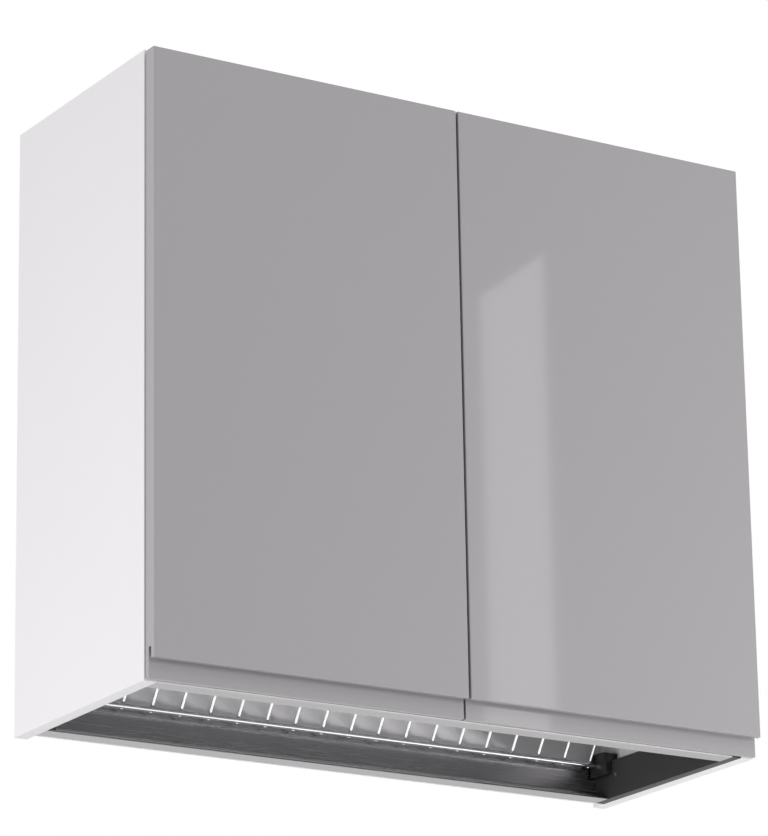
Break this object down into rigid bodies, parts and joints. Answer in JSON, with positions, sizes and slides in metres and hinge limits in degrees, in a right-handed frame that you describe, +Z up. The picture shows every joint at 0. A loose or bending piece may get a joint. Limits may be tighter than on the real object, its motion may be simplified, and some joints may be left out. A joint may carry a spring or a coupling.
{
  "type": "dish drainer wall cabinet",
  "caption": "Two-door wall cabinet with an open bottom, wire drainer racks, a drip tray and milled finger pulls, hung on a wall rail.",
  "frame": {"origin": "middle of the whole cabinet's footprint, doors included, at its bottom edge", "axes": "+X to the right seen from the front, +Y towards the wall, +Z up"},
  "size_m": [0.8, 0.32, 0.72],
  "materials": {
    "white_board": "white melamine facing, satin",
    "door_lacquer": "grey lacquer, gloss",
    "clear_bumper": "clear soft pad",
    "dowel_wood": "bare beech",
    "aluminium_profile": "satin anodised",
    "dark_plastic": "dark grey, fine grain",
    "black_plastic": "black, satin",
    "chrome_wire": "bright chrome plated",
    "tray_plastic": "light grey, moulded",
    "white_plastic": "white, moulded",
    "zinc": "zinc plated",
    "black_steel": "black, satin",
    "nickel_steel": "nickel plated"
  },
  "bodies": {
    "carcass": {"side_panel_left": "white_board", "side_panel_right": "white_board", "top_panel": "white_board", "back_panel": "white_board", "top_dowels": "dowel_wood", "cam_housings": "zinc", "cam_bolts": "zinc", "front_profile": "aluminium_profile", "rear_profile": "aluminium_profile", "end_plate_left": "dark_plastic", "end_plate_right": "dark_plastic", "end_plate_screws": "zinc", "profile_screws": "zinc", "lower_rack_rods": "chrome_wire", "lower_rack_wires": "chrome_wire", "lower_rack_brackets": "black_plastic", "lower_rack_screws": "black_steel", "plate_rack_rods": "chrome_wire", "plate_rack_wires": "chrome_wire", "plate_rack_brackets": "black_plastic", "plate_rack_screws": "black_steel", "hanger_housing_left": "white_plastic", "hanger_housing_right": "white_plastic", "hanger_hook_left": "zinc", "hanger_hook_right": "zinc", "hanger_screws": "zinc", "hinge_arm_pins": "nickel_steel", "hinge_plate_screws": "zinc", "hinge_arm_screws": "zinc", "hinge_arm_upper_left": "nickel_steel", "hinge_mount_plate_upper_left": "nickel_steel", "hinge_arm_lower_left": "nickel_steel", "hinge_mount_plate_lower_left": "nickel_steel", "hinge_arm_upper_right": "nickel_steel", "hinge_mount_plate_upper_right": "nickel_steel", "hinge_arm_lower_right": "nickel_steel", "hinge_mount_plate_lower_right": "nickel_steel"},
    "hinge_links_left": {"hinge_link_upper_left": "nickel_steel", "hinge_link_lower_left": "nickel_steel"},
    "door_left": {"door_left": "door_lacquer", "door_bumpers_left": "clear_bumper", "hinge_cup_upper_left": "nickel_steel", "hinge_cup_lower_left": "nickel_steel", "hinge_cup_pins_left": "nickel_steel", "hinge_cup_screws_left": "zinc"},
    "hinge_links_right": {"hinge_link_upper_right": "nickel_steel", "hinge_link_lower_right": "nickel_steel"},
    "door_right": {"door_right": "door_lacquer", "door_bumpers_right": "clear_bumper", "hinge_cup_upper_right": "nickel_steel", "hinge_cup_lower_right": "nickel_steel", "hinge_cup_pins_right": "nickel_steel", "hinge_cup_screws_right": "zinc"},
    "tray": {"drip_tray": "tray_plastic"}
  },
  "joints": [
    {"name": "left_link_turn", "type": "hinge", "parent": "carcass", "child": "hinge_links_left", "pos_m": [-0.3705, -0.1435, 0.36], "axis": [0, 0, 1], "range_deg": [0, 36]},
    {"name": "left_door_swing", "type": "hinge", "parent": "hinge_links_left", "child": "door_left", "pos_m": [-0.389, -0.148, 0.36], "axis": [0, 0, 1], "range_deg": [-136, 0]},
    {"name": "right_link_turn", "type": "hinge", "parent": "carcass", "child": "hinge_links_right", "pos_m": [0.3705, -0.1435, 0.36], "axis": [0, 0, 1], "range_deg": [-36, 0]},
    {"name": "right_door_swing", "type": "hinge", "parent": "hinge_links_right", "child": "door_right", "pos_m": [0.389, -0.148, 0.36], "axis": [0, 0, 1], "range_deg": [0, 136]},
    {"name": "tray_lift", "type": "slide", "parent": "carcass", "child": "tray", "axis": [0, 0, 1], "range_m": [0, 0.04]}
  ],
  "couplings": [
    {"joint": "left_link_turn", "follows": "left_door_swing", "ratio": -0.26471},
    {"joint": "right_link_turn", "follows": "right_door_swing", "ratio": -0.26471}
  ]
}
